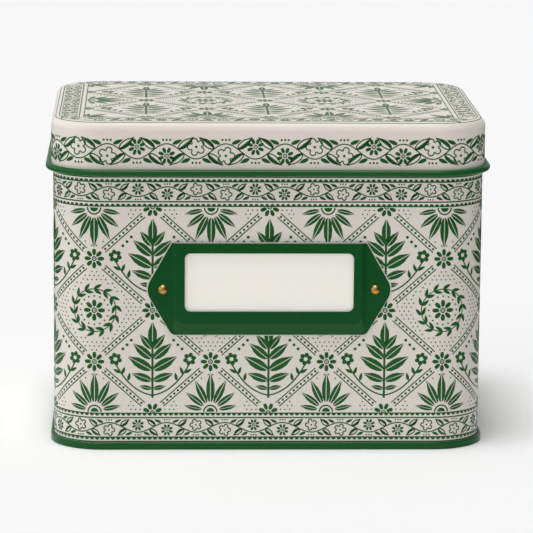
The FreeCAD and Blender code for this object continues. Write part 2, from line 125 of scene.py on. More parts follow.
# %% Floor
FLOOR_SIZE = 30.0
PAPER_FROM, PAPER_TO = 0.16, 0.32
bpy.ops.object.select_all(action="DESELECT")
bpy.ops.mesh.primitive_plane_add(size=FLOOR_SIZE)
floor = bpy.context.object
floor.name = "studio_floor"
# Matt background paper shows soft shadows and no gloss.
floor_paper, tree, shader = new_finish("white_paper_floor", Roughness=0.9)
spot = add_node(tree, "TexCoord", output="Object")
away = add_node(tree, "VectorMath", [(0, spot)], "Value", operation="LENGTH")
fade = add_node(tree, "MapRange", [
    ("Value", away), ("From Min", PAPER_FROM), ("From Max", PAPER_TO)],
    interpolation_type="SMOOTHSTEP")
# Painted reflection: for mirrored rays alone the floor darkens with distance and stands in for the dark
# room.
mirrored = add_node(tree, "LightPath", output="Is Glossy Ray")
dark = add_node(tree, "Math", [(0, fade), (1, mirrored)], operation="MULTIPLY")
paper = add_node(tree, "Mix", [(0, dark), (6, PAPER_WHITE), (7, MIRRORED_ROOM_DARK)], 2, data_type="RGBA")
tree.links.new(paper, shader.inputs["Base Color"])
floor.data.materials.append(floor_paper)
print("paper radius, m:", PAPER_FROM, "to", PAPER_TO)

# %% Sky
OVERHEAD, OVERHEAD_FROM = 0.42, 0.4
# Of each glow: where it faces, how near to that (as a cosine) it starts and is full, its strength.
GLOWS = {
    "left wall": ((-1.0, 0.0, 0.0), 0.4, 1.0, 0.8),
    "backdrop": ((0.0, 1.0, 0.0), 0.3, 1.0, 0.62),
    "room in front": ((-0.6, -0.8, 0.0), 0.1, 0.9, 0.66),
}
sky = bpy.data.worlds.new("studio_sky")
sky.use_nodes = True
tree = sky.node_tree
towards = add_node(tree, "TexCoord", output="Generated")


def glow(facing, start, full, first, last):
    """A glow that goes smoothly from first to last the nearer one looks to its direction."""
    near = add_node(tree, "VectorMath", [(0, towards), (1, facing)], "Value", operation="DOT_PRODUCT")
    return add_node(tree, "MapRange", [
        ("Value", near), ("From Min", start), ("From Max", full),
        ("To Min", first), ("To Max", last)], interpolation_type="SMOOTHSTEP")


low_sky = 0.0
for facing, start, full, strength in GLOWS.values():
    lit = glow(facing, start, full, 0.0, strength)
    low_sky = add_node(tree, "Math", [(0, low_sky), (1, lit)])
whole_sky = glow((0.0, 0.0, 1.0), OVERHEAD_FROM, 1.0, low_sky, OVERHEAD)
background = tree.nodes["Background"]
background.inputs["Color"].default_value = linear("#FFFFFF")
tree.links.new(whole_sky, background.inputs["Strength"])
scene.world = sky
print("sky, overhead:", OVERHEAD, "and low:", sorted(GLOWS))

# %% Key light
KEY_STRENGTH = 1.92
KEY_SPREAD = math.radians(24.0)
KEY_LEFT, KEY_FRONT = math.radians(5.0), math.radians(7.0)
key_data = bpy.data.lights.new("soft_key", "SUN")
key_data.energy = KEY_STRENGTH
key_data.angle = KEY_SPREAD
key = bpy.data.objects.new("soft_key", key_data)
scene.collection.objects.link(key)
towards_key = Vector((-math.tan(KEY_LEFT), -math.tan(KEY_FRONT), 1.0)).normalized()
key.rotation_euler = towards_key.to_track_quat("Z", "Y").to_euler()
scene.view_settings.view_transform = "Standard"
print("key light from", [round(value, 2) for value in towards_key])

# %% [markdown]
# ## Finishes of the three tinplate pieces
# The wall and the lid are tinplate, printed flat before it was bent. A warm white coating is rolled on
# and stoved, the green is printed over it, and a clear satin varnish covers both. The lid's bead and
# the bottom's seam are lacquered solid green. The inside and the underside are left as bright tinplate,
# so one material has to change from coated to bare. It does so by how far a point lies from the sheet's
# outer face, which is a rounded rectangle seen from above, so the change falls in the middle of the
# sheet's thickness.

# %% Noise at real sizes
# Nearly all noise lies between these.
NOISE_LOW, NOISE_HIGH = 0.3, 0.7
BUMP_STRENGTH = 0.3


def noise(tree, feature, detail=2.0, stretch=(1.0, 1.0, 1.0)):
    """Noise whose features are this many metres across; stretch makes them longer along an axis."""
    scale = [1.0 / (feature * longer) for longer in stretch]
    spot = add_node(tree, "TexCoord", output="Object")
    spot = add_node(tree, "Mapping", [("Vector", spot), ("Scale", scale)])
    return add_node(tree, "TexNoise", [("Vector", spot), ("Scale", 1.0), ("Detail", detail)])


def clouded(tree, pattern, first, second):
    """A colour that clouds from the first into the second with a noise."""
    return add_node(tree, "Mix", [(0, pattern), (6, first), (7, second)], 2, data_type="RGBA")


def wandering(tree, pattern, low, high):
    """A roughness that wanders from low to high with a noise."""
    return add_node(tree, "MapRange", [
        ("Value", pattern), ("From Min", NOISE_LOW), ("From Max", NOISE_HIGH),
        ("To Min", low), ("To Max", high)])


def dress(tree, shader, colour, roughness, pattern, depth):
    """Give the shader its colour, its roughness and a faint unevenness of this depth in metres."""
    tree.links.new(colour, shader.inputs["Base Color"])
    tree.links.new(roughness, shader.inputs["Roughness"])
    bump = add_node(tree, "Bump", [
        ("Height", pattern), ("Strength", BUMP_STRENGTH), ("Distance", depth)])
    tree.links.new(bump, shader.inputs["Normal"])


print("bump strength:", BUMP_STRENGTH)

# %% Where the coated face is
# Half width, half depth and corner radius of the two outer faces, in mm.
WALL_OUTLINE, SKIRT_OUTLINE = (82.55, 58.8, 18.8), (83.25, 59.5, 19.5)
SHEET = 0.3 * MM
COAT_EDGE = 0.5 * SHEET
OVER_THE_TIN = 1.0


def outline_distance(tree, outline):
    """How far a point lies outside a rounded rectangle seen from above, in metres."""
    half_width, half_depth, corner = [size * MM for size in outline]
    core = (half_width - corner, half_depth - corner, OVER_THE_TIN)
    spot = add_node(tree, "TexCoord", output="Object")
    folded = add_node(tree, "VectorMath", [(0, spot)], operation="ABSOLUTE")
    past = add_node(tree, "VectorMath", [(0, folded), (1, core)], operation="SUBTRACT")
    past = add_node(tree, "VectorMath", [(0, past), (1, ORIGIN)], operation="MAXIMUM")
    length = add_node(tree, "VectorMath", [(0, past)], "Value", operation="LENGTH")
    return add_node(tree, "Math", [(0, length), (1, corner)], operation="SUBTRACT")


print("coat ends inside the outer face, mm:", COAT_EDGE / MM)

# %% Coated tinplate
WHITE_COAT, WHITE_COAT_WARM = linear("#E8E1D9"), linear("#E5DDD3")
GREEN_COAT, GREEN_COAT_DEEP = linear("#0F5A25"), linear("#0B5120")
TIN, TIN_GREY = linear("#ECEBE8"), linear("#DEDEDC")
COAT_CLOUD, VARNISH_CLOUD = 25.0 * MM, 6.0 * MM
COAT_PEEL, COAT_PEEL_DEPTH = 0.9 * MM, 0.005 * MM
# Real rolling lines are finer; these are as coarse as they must be to show.
GRAIN_WIDTH, GRAIN_LENGTH = 0.5 * MM, 60.0
BARE_ROUGHNESS = (0.38, 0.50)
WALL_ROUGHNESS, SEAM_ROUGHNESS, LID_ROUGHNESS = (0.36, 0.42), (0.17, 0.23), (0.34, 0.40)


def coat_tinplate(tree, shader, coated, coat, roughness):
    """The coat where the mask is 1, and bare bright tinplate with a rolled grain elsewhere."""
    grain = noise(tree, GRAIN_WIDTH, stretch=(GRAIN_LENGTH, GRAIN_LENGTH, 1.0))
    colour = add_node(tree, "Mix", [
        (0, coated), (6, clouded(tree, grain, TIN, TIN_GREY)), (7, coat)], 2, data_type="RGBA")
    bare_rough = wandering(tree, grain, *BARE_ROUGHNESS)
    coat_rough = wandering(tree, noise(tree, VARNISH_CLOUD), *roughness)
    rough = add_node(tree, "Mix", [(0, coated), (2, bare_rough), (3, coat_rough)])
    dress(tree, shader, colour, rough, noise(tree, COAT_PEEL), COAT_PEEL_DEPTH)
    bare = add_node(tree, "Math", [(0, 1.0), (1, coated)], operation="SUBTRACT")
    tree.links.new(bare, shader.inputs["Metallic"])


def coats(tree, green):
    """The white coat, or the green where the mask is 1, each a little cloudy as rolled coats are."""
    cloud = noise(tree, COAT_CLOUD)
    white_coat = clouded(tree, cloud, WHITE_COAT, WHITE_COAT_WARM)
    green_coat = clouded(tree, cloud, GREEN_COAT, GREEN_COAT_DEEP)
    return add_node(tree, "Mix", [(0, green), (6, white_coat), (7, green_coat)], 2, data_type="RGBA")


# A stoved white coat under satin varnish has broad, soft highlights. Stoved green lacquer is smoother,
# so the seam's are narrow and glossy.
for piece, name, green, roughness, values in (
        ("body_wall", "satin_white_coated_tinplate", 0.0, WALL_ROUGHNESS, {}),
        ("bottom_plate", "green_lacquered_tinplate", 1.0, SEAM_ROUGHNESS,
         {"Specular_IOR_Level": 0.2})):
    coating, tree, shader = new_finish(name, **values)
    coated = add_node(tree, "Math", [
        (0, outline_distance(tree, WALL_OUTLINE)), (1, -COAT_EDGE)], operation="GREATER_THAN")
    coat_tinplate(tree, shader, coated, coats(tree, green), roughness)
    nodes[piece].material_slots[0].material = coating
    print(piece, "coated:", coating.name)

# %% The lid's two coats
EDGE_ROUND, LID_TOP, BEAD_TOP = 3.5, 127.0, 109.05
# The wall's satin white, and a lacquered bead under it.
lid_coat, tree, shader = new_finish("two_colour_coated_tinplate", Specular_IOR_Level=0.25)
spot = add_node(tree, "TexCoord", output="Object")
height = add_node(tree, "SeparateXYZ", [("Vector", spot)], "Z")
distance = outline_distance(tree, SKIRT_OUTLINE)
# The outer face turns over the lid's round edge, so it is found by distance from the bend's centre.
across = add_node(tree, "Math", [(0, distance), (1, EDGE_ROUND * MM)], operation="ADD")
above = add_node(tree, "Math", [(0, height), (1, (LID_TOP - EDGE_ROUND) * MM)], operation="SUBTRACT")
bend = add_node(tree, "CombineXYZ", [("X", across), ("Y", above)])
bend = add_node(tree, "VectorMath", [(0, bend), (1, ORIGIN)], operation="MAXIMUM")
reach = add_node(tree, "VectorMath", [(0, bend)], "Value", operation="LENGTH")
coated = add_node(tree, "Math", [
    (0, reach), (1, EDGE_ROUND * MM - COAT_EDGE)], operation="GREATER_THAN")
# The bead stands outside the skirt, below its own top.
low = add_node(tree, "Math", [(0, height), (1, BEAD_TOP * MM)], operation="LESS_THAN")
outside = add_node(tree, "Math", [(0, distance), (1, COAT_EDGE)], operation="GREATER_THAN")
bead = add_node(tree, "Math", [(0, low), (1, outside)], operation="MULTIPLY")
coat_tinplate(tree, shader, coated, coats(tree, bead), LID_ROUGHNESS)
nodes["lid"].material_slots[0].material = lid_coat
print("bead green below, mm:", BEAD_TOP)

# %% [markdown]
# ## Finishes of the label holder, its rivets and its card
# The holder is pressed steel in stoved enamel: deep green, glossy, with the faint orange-peel skin that
# sprayed enamel dries to. Each rivet is solid brass that has dulled a little in patches. The card is
# smooth white card stock, whose fibres only just show. A real brightener glows a little, but the glow
# given here is painted light: it makes the card brighter than the light in its recess would.

# %% Stoved enamel
ENAMEL_GREEN, ENAMEL_DEEP = linear("#075420"), linear("#064C1B")
ENAMEL_CLOUD, GLOSS_CLOUD = 18.0 * MM, 5.0 * MM
ORANGE_PEEL, ORANGE_PEEL_DEPTH = 0.7 * MM, 0.004 * MM
# Enamel flows out smooth before it is stoved, so its slopes mirror the floor.
enamel, tree, shader = new_finish("stoved_green_enamel", Specular_IOR_Level=0.25)
dress(tree, shader, clouded(tree, noise(tree, ENAMEL_CLOUD), ENAMEL_GREEN, ENAMEL_DEEP),
      wandering(tree, noise(tree, GLOSS_CLOUD), 0.23, 0.27),
      noise(tree, ORANGE_PEEL, detail=1.0), ORANGE_PEEL_DEPTH)
nodes["label_holder"].material_slots[0].material = enamel
print("enamel:", enamel.name)

# %% Brass
BRASS, BRASS_DULL = linear("#E2B366"), linear("#BC8847")
TARNISH_PATCH, HAMMER_MARK, HAMMER_DEPTH = 0.9 * MM, 0.25 * MM, 0.006 * MM
# Handled brass is gold where clean, browner and duller in patches.
brass, tree, shader = new_finish("dulled_brass", Metallic=1.0)
tarnish = noise(tree, TARNISH_PATCH, detail=4.0)
dress(tree, shader, clouded(tree, tarnish, BRASS, BRASS_DULL), wandering(tree, tarnish, 0.30, 0.44),
      noise(tree, HAMMER_MARK), HAMMER_DEPTH)
for rivet in ("rivet_left", "rivet_right"):
    nodes[rivet].material_slots[0].material = brass
print("brass on:", sorted(name for name in nodes if name.startswith("rivet")))

# %% Card stock
CARD_WHITE, CARD_CREAM = linear("#FBF8F0"), linear("#F7F3E8")
# Painted light: colour and strength of a glow the card gives off itself.
CARD_GLOW_COLOUR, PAINTED_GLOW_STRENGTH = linear("#FFF8EC"), 0.08
FIBRE, FIBRE_LENGTH, FIBRE_DEPTH = 0.35 * MM, 3.0, 0.004 * MM
# Pressed paper fibres scatter the light evenly, so the card looks flat. Its glow is painted light,
# which makes it brighter than its recess lets it be.
card_stock, tree, shader = new_finish(
    "smooth_white_card_stock", Emission_Color=CARD_GLOW_COLOUR, Emission_Strength=PAINTED_GLOW_STRENGTH)
fibres = noise(tree, FIBRE, detail=5.0, stretch=(FIBRE_LENGTH, 1.0, 1.0))
dress(tree, shader, clouded(tree, fibres, CARD_WHITE, CARD_CREAM), wandering(tree, fibres, 0.60, 0.72),
      fibres, FIBRE_DEPTH)
nodes["label_card"].material_slots[0].material = card_stock
print("card stock:", card_stock.name)

# %% [markdown]
# ## The printed decoration
# The real sheet is printed flat, cut, and only then bent into a wall and a lid. The print is made here
# in the same order. Each motif is modelled once as a flat stamp, one repeat of the pattern is stamped
# on a flat sheet, the repeat is copied along the sheet, and the sheet is bent round the tin. The flat
# work is drawn in millimetres, and comes to metres when it is bent.
#
# The pattern is a common garden trellis: rosettes at the crossings, herb sprigs and wreaths in the
# panes, running vines in the borders.
#
# A drawn texture would be usual, but lines this fine need a very large picture to stay sharp. Thin
# slabs of ink are sharp from any distance. They stand 0.03 mm proud, so little that they read as print.

# %% Cutting flat stamps
STROKE = 0.45
TIP = 0.02


def start_disc(name, sides, radius, at=(0.0, 0.0), stretch=(1.0, 1.0)):
    """A flat disc to cut a stamp from; its radius is stretched along x and y."""
    bpy.ops.object.select_all(action="DESELECT")
    bpy.ops.mesh.primitive_circle_add(vertices=sides, radius=radius, fill_type="NGON",
                                      location=(*at, 0.0))
    disc = bpy.context.object
    disc.name = name
    bpy.ops.transform.resize(value=(*stretch, 1.0))
    bpy.ops.object.transform_apply(location=True, rotation=True, scale=True)
    return disc


def pick(*objects):
    """Select these objects alone, the first of them active."""
    bpy.ops.object.select_all(action="DESELECT")
    for obj in objects:
        obj.select_set(True)
    bpy.context.view_layer.objects.active = objects[0]


def edit(obj):
    """Edit mode with all of obj selected."""
    pick(obj)
    bpy.ops.object.mode_set(mode="EDIT")
    bpy.ops.mesh.select_all(action="SELECT")


def draw_out(obj, by):
    """Move the topmost points, as when a leaf's tip is drawn out."""
    bpy.ops.object.mode_set(mode="EDIT")
    bpy.ops.mesh.select_mode(type="VERT")
    bpy.ops.mesh.select_all(action="DESELECT")
    points = bmesh.from_edit_mesh(obj.data)
    topmost = max(point.co.y for point in points.verts)
    for point in points.verts:
        point.select_set(point.co.y > topmost - TIP)
    points.select_flush(True)
    bmesh.update_edit_mesh(obj.data)
    bpy.ops.transform.translate(value=(0.0, by, 0.0))
    bpy.ops.object.mode_set(mode="OBJECT")


print("line width, mm:", STROKE)


# %% More ways to cut and copy
def hollow(obj, line=STROKE):
    """Leave only a line of this width round the stamp's outline."""
    edit(obj)
    bpy.ops.mesh.inset(thickness=line)
    bpy.ops.mesh.delete(type="FACE")
    bpy.ops.object.mode_set(mode="OBJECT")


def cut(obj, at, towards):
    """Cut the stamp along a line and drop the part that lies towards."""
    edit(obj)
    bpy.ops.mesh.bisect(plane_co=(*at, 0.0), plane_no=(*towards, 0.0), clear_outer=True)
    bpy.ops.object.mode_set(mode="OBJECT")


def copies_round(obj, count, first=0.0):
    """Copies of the stamp in a ring round the origin, the first turned by so many degrees."""
    edit(obj)
    bpy.ops.transform.rotate(value=math.radians(first), orient_axis="Z", center_override=ORIGIN)
    bpy.ops.mesh.spin(steps=count - 1, angle=2.0 * math.pi * (count - 1) / count, dupli=True,
                      center=ORIGIN, axis=(0.0, 0.0, 1.0))
    bpy.ops.object.mode_set(mode="OBJECT")


def join(*objects):
    """One stamp of several."""
    pick(*objects)
    bpy.ops.object.join()
    return objects[0]


stamps = {}


def keep_stamp(obj):
    """Store the stamp's mesh under its object's name and clear the object away."""
    stamps[obj.name] = obj.data
    bpy.data.objects.remove(obj)


print("stamps kept:", len(stamps))

# %% [markdown]
# ## The stamps
# Leaves, petals and dots could be traced as curves. Here each starts as a flat disc, and edit mode's
# own tools do the rest: a tip is moved, halves are bisected, outlines inset, petals spun into a ring.


# %% Leaves
def leaf(name, length, width, sides=12, point=0.18):
    """A solid leaf growing up from the origin, its tip drawn to a point."""
    body = length * (1.0 - point)
    blade = start_disc(name, sides, 0.5 * body, at=(0.0, 0.5 * body), stretch=(width / body, 1.0))
    draw_out(blade, point * length)
    return blade


def veined_leaf(name, length, width, vein=0.26):
    """A solid leaf with a white vein: one half is cut off and mirrored."""
    half = leaf(name, length, width)
    cut(half, (0.5 * vein, 0.0), (-1.0, 0.0))
    other = half.copy()
    other.data = half.data.copy()
    scene.collection.objects.link(other)
    edit(other)
    bpy.ops.transform.resize(value=(-1.0, 1.0, 1.0), center_override=ORIGIN)
    bpy.ops.mesh.flip_normals()
    bpy.ops.object.mode_set(mode="OBJECT")
    return join(half, other)


def shaded_leaf(name, length, width):
    """A leaf drawn in outline, with one half solid."""
    outline = leaf(name, length, width)
    half = leaf("half", length, width)
    hollow(outline)
    cut(half, (0.0, 0.0), (-1.0, 0.0))
    return join(outline, half)


keep_stamp(leaf("small_leaf", 4.4, 1.7, sides=8))
keep_stamp(veined_leaf("broad_leaf", 10.0, 3.7))
keep_stamp(veined_leaf("palm_leaf", 10.0, 2.7, vein=0.24))
keep_stamp(shaded_leaf("border_leaf", 4.4, 2.1))
keep_stamp(shaded_leaf("band_leaf", 7.4, 2.9))
print("faces:", {name: len(mesh.polygons) for name, mesh in stamps.items()})

# %% Flowers and dots
# Shares of the distance from a flower's middle to the middle of a petal.
PETAL, PETAL_FOOT, EYE = 0.62, 0.72, 0.24
ROSETTE_PETAL = {"at": (0.0, 2.62), "stretch": (1.55, 2.85)}
ROSETTE_WAIST, ROSETTE_RING, ROSETTE_LINE, ROSETTE_EYE = 0.25, 0.98, 0.42, 0.30
HALF_STEP = 22.5
FLOWER_PETAL = {"at": (0.0, 1.62), "stretch": (1.75, 1.95)}
SCALLOP = 0.82


def line_flower(name, radius):
    """Five petals drawn in outline round a solid eye."""
    reach = radius / (1.0 + PETAL)
    petal = start_disc(name, 12, PETAL * reach, at=(0.0, reach))
    hollow(petal)
    cut(petal, (0.0, PETAL_FOOT * reach), (0.0, -1.0))
    copies_round(petal, 5)
    return join(petal, start_disc("eye", 8, EYE * reach))


def rosette(name, first_petal=0.0):
    """Eight solid petals round a ringed eye."""
    petal = start_disc(name, 8, 0.5, **ROSETTE_PETAL)
    draw_out(petal, -ROSETTE_WAIST)
    copies_round(petal, 8, first_petal)
    ring = start_disc("ring", 16, ROSETTE_RING)
    hollow(ring, ROSETTE_LINE)
    return join(petal, ring, start_disc("eye", 6, ROSETTE_EYE))


keep_stamp(start_disc("dot", 8, 0.5))
keep_stamp(start_disc("speck", 6, 0.5))
scallop = start_disc("scallop", 12, SCALLOP)
cut(scallop, (0.0, 0.0), (0.0, -1.0))
keep_stamp(scallop)
keep_stamp(rosette("rosette"))
half_rosette = rosette("half_rosette", HALF_STEP)
cut(half_rosette, (0.0, 0.0), (0.0, -1.0))
keep_stamp(half_rosette)
flower = start_disc("flower", 8, 0.5, **FLOWER_PETAL)
copies_round(flower, 6)
keep_stamp(flower)
keep_stamp(line_flower("border_flower", 2.5))
keep_stamp(line_flower("band_flower", 3.6))
print("stamps kept:", sorted(stamps))

# %% [markdown]
# ## Stamping the motifs
# A motif is a function that presses its stamps where it is placed, so one sprig serves wall and lid.
# Objects could be placed too, but so many are slow, and the marks go into one bmesh.

# %% Stamping a flat sheet
LAYERS, LAYER = 7, 0.002
marks = itertools.count()


def place(x, y, turn=0.0, size=1.0):
    """Where a motif goes on its sheet: x and y, a clockwise turn in degrees, and a size."""
    turned = Matrix.Rotation(math.radians(-turn), 4, "Z")
    return Matrix.Translation((x, y, 0.0)) @ turned @ Matrix.Scale(size, 4)


def next_level():
    """Each mark lies a hair above or below its neighbours, so that marks may cross."""
    return next(marks) % LAYERS * LAYER


def ink(sheet, where, stamp, x, y, turn=0.0, size=1.0):
    """Press a stamp on the sheet, at x and y within the motif that is placed there."""
    first = len(sheet.verts)
    sheet.from_mesh(stamps[stamp])
    sheet.verts.ensure_lookup_table()
    level = Matrix.Translation((0.0, 0.0, next_level()))
    bmesh.ops.transform(sheet, matrix=level @ where @ place(x, y, turn, size),
                        verts=sheet.verts[first:])


def stroke(sheet, where, points, width=STROKE):
    """A printed line through points of the motif that is placed there."""
    path = np.array([where @ Vector((x, y, 0.0)) for x, y in points])[:, :2]
    along = np.gradient(path, axis=0)
    along /= np.linalg.norm(along, axis=1)[:, None]
    across = 0.5 * width * where.median_scale * np.column_stack((-along[:, 1], along[:, 0]))
    level = next_level()
    left = [sheet.verts.new((x, y, level)) for x, y in path + across]
    right = [sheet.verts.new((x, y, level)) for x, y in path - across]
    for i in range(len(path) - 1):
        sheet.faces.new((left[i], right[i], right[i + 1], left[i + 1]))


print("levels of ink:", LAYERS, "of", LAYER, "mm")


# %% Curved lines
def arc_points(radius, start, end, steps, centre=(0.0, 0.0)):
    """Points on an arc, its angles in degrees clockwise from straight up."""
    angles = np.radians(np.linspace(start, end, steps + 1))
    return [(centre[0] + radius * math.sin(a), centre[1] + radius * math.cos(a)) for a in angles]


def stalk_points(start, lean, end, steps=10):
    """Points on a stalk that leaves start towards lean and arrives at end."""
    return [tuple((1 - t) ** 2 * s + 2 * t * (1 - t) * m + t * t * e
                  for s, m, e in zip(start, lean, end)) for t in np.linspace(0.0, 1.0, steps + 1)]


print("points on a quarter turn:", len(arc_points(1.0, 0.0, 90.0, 8)))

# %% Herb sprig
STEM_FOOT, STEM_TOP, STEM_WIDTH = -14.2, 8.0, 0.85
TOP_LEAF, TOP_LEAF_SIZE = 6.4, 0.95
# Height on the stem, size and lean of each pair of leaves, which start beside the stem's middle.
LEAF_PAIRS = ((5.0, 0.74, 38.0), (1.2, 0.95, 50.0), (-3.2, 1.08, 60.0), (-7.4, 0.84, 70.0),
              (-10.6, 0.50, 78.0))
BESIDE = 0.35
# The stalk leaves the first point towards the second and ends at the third, under its flower.
STALK, STALK_WIDTH = ((0.0, -13.2), (8.4, -11.8), (13.9, -1.2)), 0.55
STALK_FLOWER, FLOWER_LEAN = (14.2, 1.0), 14.0
STALK_LEAVES, STALK_LEAF_SIZE = ((9.3, -7.4, -12.0), (11.7, -4.9, -22.0), (12.2, -4.4, 62.0)), 0.74
BERRIES, BERRY_SIZE = ((9.7, 6.6), (11.3, 5.0), (8.1, 8.4)), 1.2


def sprig(sheet, where, blade="broad_leaf"):
    """Leaf pairs up a stem, and a flower on a stalk at each side."""
    stroke(sheet, where, [(0.0, STEM_FOOT), (0.0, STEM_TOP)], STEM_WIDTH)
    ink(sheet, where, blade, 0.0, TOP_LEAF, 0.0, TOP_LEAF_SIZE)
    for way in (-1, 1):
        for height, length, lean in LEAF_PAIRS:
            ink(sheet, where, blade, BESIDE * way, height, way * lean, length)
        stroke(sheet, where, stalk_points(*[(x * way, y) for x, y in STALK]), STALK_WIDTH)
        ink(sheet, where, "flower", STALK_FLOWER[0] * way, STALK_FLOWER[1], FLOWER_LEAN * way)
        for x, y, lean in STALK_LEAVES:
            ink(sheet, where, "small_leaf", x * way, y, lean * way, STALK_LEAF_SIZE)
        for x, y in BERRIES:
            ink(sheet, where, "dot", x * way, y, 0.0, BERRY_SIZE)


print("leaf pairs on a sprig:", len(LEAF_PAIRS))

# %% Wreath and palmette
WREATH_ROSETTE, WREATH_RADIUS, WREATH_LINE = 1.08, 8.3, 0.4
WREATH_PAIRS, WREATH_LEAF_SIZE = 14, 0.78
# Distance from the middle and slant of the outer and the inner leaf of each pair.
WREATH_LEAVES = ((8.55, 62.0), (8.05, 122.0))
RING_SPECKS, RING_RADIUS, RING_SIZE = 16, 5.55, 0.75
FAN_LEANS = range(-78, 79, 26)
FAN_LENGTH, FAN_TAPER, FAN_HUB, FAN_START = 1.22, 0.0064, 0.6, 3.4
HUB_ARC, HUB_CENTRE, HUB_LINE = 2.55, (0.0, 0.3), 0.55
HUB_HEIGHT, HUB_SIZE = 0.35, 1.9


def wreath(sheet, where):
    """A rosette in a ring of specks and a ring of paired leaves."""
    ink(sheet, where, "rosette", 0.0, 0.0, 0.0, WREATH_ROSETTE)
    stroke(sheet, where, arc_points(WREATH_RADIUS, 0.0, 360.0, 40), WREATH_LINE)
    for number in range(WREATH_PAIRS):
        spoke = where @ place(0.0, 0.0, 360.0 * number / WREATH_PAIRS)
        for out, slant in WREATH_LEAVES:
            ink(sheet, spoke, "small_leaf", 0.0, out, slant, WREATH_LEAF_SIZE)
    for number in range(RING_SPECKS):
        spoke = where @ place(0.0, 0.0, 360.0 * number / RING_SPECKS)
        ink(sheet, spoke, "speck", 0.0, RING_RADIUS, 0.0, RING_SIZE)


def palmette(sheet, where):
    """Narrow leaves fanned out from a half-round hub on an edge, the middle one longest."""
    for lean in FAN_LEANS:
        length = FAN_LENGTH - FAN_TAPER * abs(lean)
        ink(sheet, where @ place(0.0, FAN_HUB, lean), "palm_leaf", 0.0, FAN_START, 0.0, length)
    stroke(sheet, where, arc_points(HUB_ARC, -90.0, 90.0, 12, HUB_CENTRE), HUB_LINE)
    ink(sheet, where, "scallop", 0.0, HUB_HEIGHT, 0.0, HUB_SIZE)


print("leaves on a wreath:", 2 * WREATH_PAIRS, "and in a palmette:", len(FAN_LEANS))

# %% Trellis and specks
BAR_HALF_WIDTH, BAR_LINE = 0.98, 0.42
BEAD_PITCH, BEAD_SIZE = 1.75, 0.95
SPECK_PITCH, SPECK_SIZE = 1.75, 0.62
SPECK_ROW = 0.87 * SPECK_PITCH
BAR_MARGIN, EDGE_MARGIN = 2.0, 0.9


def bar(sheet, where, start, end, gap):
    """A trellis bar between two rosettes: two lines with a row of beads."""
    start, end = Vector(start), Vector(end)
    along = (end - start).normalized()
    across = BAR_HALF_WIDTH * Vector((-along.y, along.x))
    first, last = start + along * gap, end - along * gap
    for line in (-across, across):
        stroke(sheet, where, [first + line, last + line], BAR_LINE)
    beads = int((last - first).length / BEAD_PITCH)
    for number in range(beads):
        ink(sheet, where, "dot", *first.lerp(last, (number + 0.5) / beads), 0.0, BEAD_SIZE)


def pane_bars(sheet, pane, wide, high, gap):
    """The four bars round a pane, which stop this far short of the rosettes' middles."""
    for across in (-1, 1):
        for tall in (-1, 1):
            bar(sheet, pane, (0.0, 0.5 * high * tall), (0.5 * wide * across, 0.0), gap)


def inside_pane(x, y, wide, high):
    """How far a point lies inside the edge of a diamond pane of the trellis."""
    half = Vector((0.5 * wide, 0.5 * high))
    return (1.0 - abs(x) / half.x - abs(y) / half.y) * half.x * half.y / half.length


def speckle(sheet, where, wide, high, clear, middle=0.0, lowest=-math.inf):
    """Staggered specks in a pane, clear of its bars and of the motif in its middle."""
    for row in range(int(high / SPECK_ROW) + 1):
        y = SPECK_ROW * row - 0.5 * high
        reach = int(0.5 * wide / SPECK_PITCH) + 1
        for step in range(-reach, reach + 1):
            x = SPECK_PITCH * (step + 0.5 * (row % 2))
            free = y > lowest and math.hypot(x, y - middle) > clear
            if free and inside_pane(x, y, wide, high) > BAR_MARGIN:
                ink(sheet, where, "speck", x, y, 0.0, SPECK_SIZE)


print("specks lie apart, mm:", SPECK_PITCH)

# %% Running vine
VINE_STEPS = 36
FLOWER_TURN, HOLLOW_ROSETTE = 18.0, 0.62
KNOT_LEAF_LEAN, KNOT_SHIFT, KNOT_RISE = 52.0, 0.05, 0.33
CREST_LEAN, CREST_ASIDE, CREST_RISE, CREST_LIFT, CREST_SIZE = 66.0, 0.10, 0.86, 0.3, 0.66
DOTS, DOT_LIFT, DOT_SIZE = (-0.95, 0.0, 0.95), 1.05, 0.62


def vine(sheet, where, length, rise, drawn, nest, size):
    """Two waves of a vine: a flower in each hollow, a leaf each side of each knot.

    drawn: the flower and the leaf; nest: how deep flowers sit; size: of the smaller marks.
    """
    drawn_flower, drawn_leaf = drawn
    wave = 0.5 * length
    stroke(sheet, where, [
        (length * (i / VINE_STEPS - 0.5), rise * math.sin(4.0 * math.pi * i / VINE_STEPS))
        for i in range(VINE_STEPS + 1)])
    for number in range(4):
        way = 1 if number % 2 == 0 else -1
        crest = where @ place((number + 0.5) * 0.5 * wave - wave, 0.0)
        knot = crest @ place(0.25 * wave, 0.0)
        if number in (0, 3):
            ink(sheet, crest, drawn_flower, 0.0, -way * nest, FLOWER_TURN * way)
        else:
            ink(sheet, crest, "rosette", 0.0, -way * nest, HALF_STEP, HOLLOW_ROSETTE * size)
        for up in (-1, 1):
            lean = KNOT_LEAF_LEAN * way + (0.0 if up > 0 else 180.0)
            ink(sheet, knot, drawn_leaf, -KNOT_SHIFT * wave * up * way, KNOT_RISE * rise * up, lean)
        outward = 0.0 if way > 0 else 180.0
        for aside in (-1, 1):
            lean = outward + CREST_LEAN * aside * way
            ink(sheet, crest, "small_leaf", CREST_ASIDE * wave * aside,
                way * (CREST_RISE * rise + CREST_LIFT), lean, CREST_SIZE * size)
        for x in DOTS:
            ink(sheet, crest, "dot", x * size, way * (rise + DOT_LIFT * size), 0.0, DOT_SIZE * size)


print("motifs ready")

# %% [markdown]
# ## Bending the sheets round the tin
# The wall's print is twelve repeats long. The flat sheet is cut across wherever it will bend and
# thickened into ink, and every point is then carried from the sheet to the tin. A curve modifier would
# bend it too, but not to the wall's exact outline. The ink's upper face keeps the sheet's normals, so
# it takes light as print does.

# %% Green printing ink
INK_GREEN, INK_DEEP = linear("#11601E"), linear("#0D5419")
INK_CLOUD = 3.0 * MM
